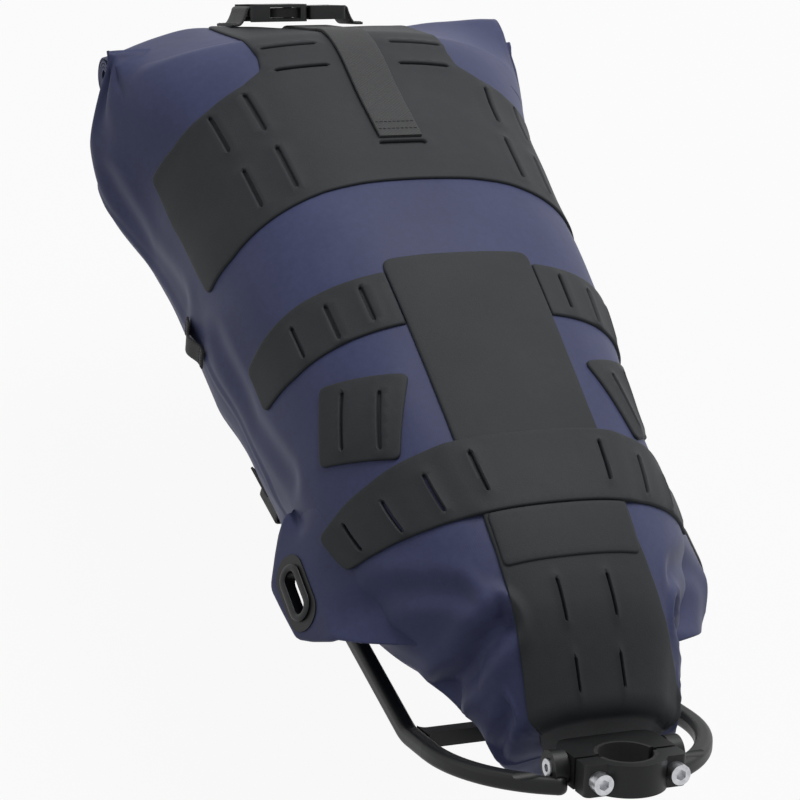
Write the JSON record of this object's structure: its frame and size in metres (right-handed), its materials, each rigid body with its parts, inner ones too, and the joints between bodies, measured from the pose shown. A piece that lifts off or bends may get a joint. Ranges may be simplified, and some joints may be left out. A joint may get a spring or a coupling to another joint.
{
  "type": "saddle bag",
  "caption": "Tapered roll-top bicycle seat pack with lash panels, strap ears, a buckled roll closure, a bent support bracket and a bolted seatpost clamp.",
  "frame": {"origin": "centre of the seatpost clamp bore, halfway up the clamp", "axes": "+X forward along the bag towards the seatpost, +Y to the rider's left, +Z away from the belly; the seatpost leans 35 degrees back from +Z"},
  "size_m": [0.5739, 0.2592, 0.1764],
  "materials": {
    "navy_fabric": "navy coated woven fabric, satin",
    "black_panel": "black rubberised lash panel, matte",
    "webbing": "black woven webbing",
    "moulded_plastic": "black moulded plastic",
    "stiffener": "black plastic sheet",
    "bracket_black": "black glass-filled plastic, fine grain",
    "liner_rubber": "black rubber",
    "bolt_steel": "plain stainless steel"
  },
  "bodies": {
    "clamp": {"clamp_block": "bracket_black", "clamp_liner_rear": "liner_rubber"},
    "bag": {"bag_shell": "navy_fabric", "roll_closure": "navy_fabric", "ear_left": "navy_fabric", "ear_right": "navy_fabric", "base_panel": "black_panel", "rear_panel": "black_panel", "spine_panel": "black_panel", "mid_wing_left": "black_panel", "mid_wing_right": "black_panel", "lower_band": "black_panel", "spine_patch": "black_panel", "lash_patch_left": "black_panel", "lash_patch_right": "black_panel", "side_loop_left": "black_panel", "side_loop_right": "black_panel", "strap_anchor": "black_panel", "arm_keepers": "black_panel", "compression_strap": "webbing", "buckle_webbing_right": "webbing", "eyelet_left": "moulded_plastic", "eyelet_right": "moulded_plastic", "eyelet_ring_left": "moulded_plastic", "eyelet_ring_right": "moulded_plastic", "buckle_socket": "moulded_plastic", "closure_strip": "stiffener", "base_board": "stiffener", "bracket_arm_left": "bracket_black", "bracket_arm_right": "bracket_black", "bracket_crossbar": "bracket_black"},
    "cap": {"clamp_cap": "bracket_black", "clamp_liner_front": "liner_rubber"},
    "cap_bolt_left": {"clamp_bolt_left": "bolt_steel"},
    "cap_bolt_right": {"clamp_bolt_right": "bolt_steel"},
    "pivot_bolt_left": {"pivot_bolt_left": "bolt_steel"},
    "pivot_bolt_right": {"pivot_bolt_right": "bolt_steel"},
    "buckle_plug": {"buckle_plug": "moulded_plastic", "buckle_webbing_left": "webbing"},
    "prong_front": {"buckle_prong_front": "moulded_plastic"},
    "prong_rear": {"buckle_prong_rear": "moulded_plastic"}
  },
  "joints": [
    {"name": "cap_lift", "type": "slide", "parent": "clamp", "child": "cap", "axis": [0.8191, 0, 0.5736], "range_m": [0, 0.03]},
    {"name": "cap_bolt_left_turn", "type": "hinge", "parent": "cap", "child": "cap_bolt_left", "pos_m": [0.00983, 0.0205, 0.00688], "axis": [0.8191, 0, 0.5736], "continuous": true},
    {"name": "cap_bolt_right_turn", "type": "hinge", "parent": "cap", "child": "cap_bolt_right", "pos_m": [0.00983, -0.0205, 0.00688], "axis": [0.8191, 0, 0.5736], "continuous": true},
    {"name": "bag_pitch", "type": "hinge", "parent": "clamp", "child": "bag", "pos_m": [-0.01024, 0, -0.00717], "axis": [0, 1, 0], "range_deg": [-10, 10]},
    {"name": "pivot_bolt_left_turn", "type": "hinge", "parent": "clamp", "child": "pivot_bolt_left", "pos_m": [-0.01024, 0.031, -0.00717], "axis": [0, 1, 0], "continuous": true},
    {"name": "pivot_bolt_right_turn", "type": "hinge", "parent": "clamp", "child": "pivot_bolt_right", "pos_m": [-0.01024, -0.031, -0.00717], "axis": [0, 1, 0], "continuous": true},
    {"name": "buckle_release", "type": "slide", "parent": "bag", "child": "buckle_plug", "axis": [0, 1, 0], "range_m": [0, 0.028]},
    {"name": "prong_front_press", "type": "hinge", "parent": "buckle_plug", "child": "prong_front", "pos_m": [-0.53038, -0.0036, 0.01555], "axis": [-0.6428, 0, 0.766], "range_deg": [-6, 0], "stiffness_Nm_per_rad": 0.02},
    {"name": "prong_rear_press", "type": "hinge", "parent": "buckle_plug", "child": "prong_rear", "pos_m": [-0.54585, -0.0036, 0.00256], "axis": [-0.6428, 0, 0.766], "range_deg": [0, 6], "stiffness_Nm_per_rad": 0.02}
  ]
}
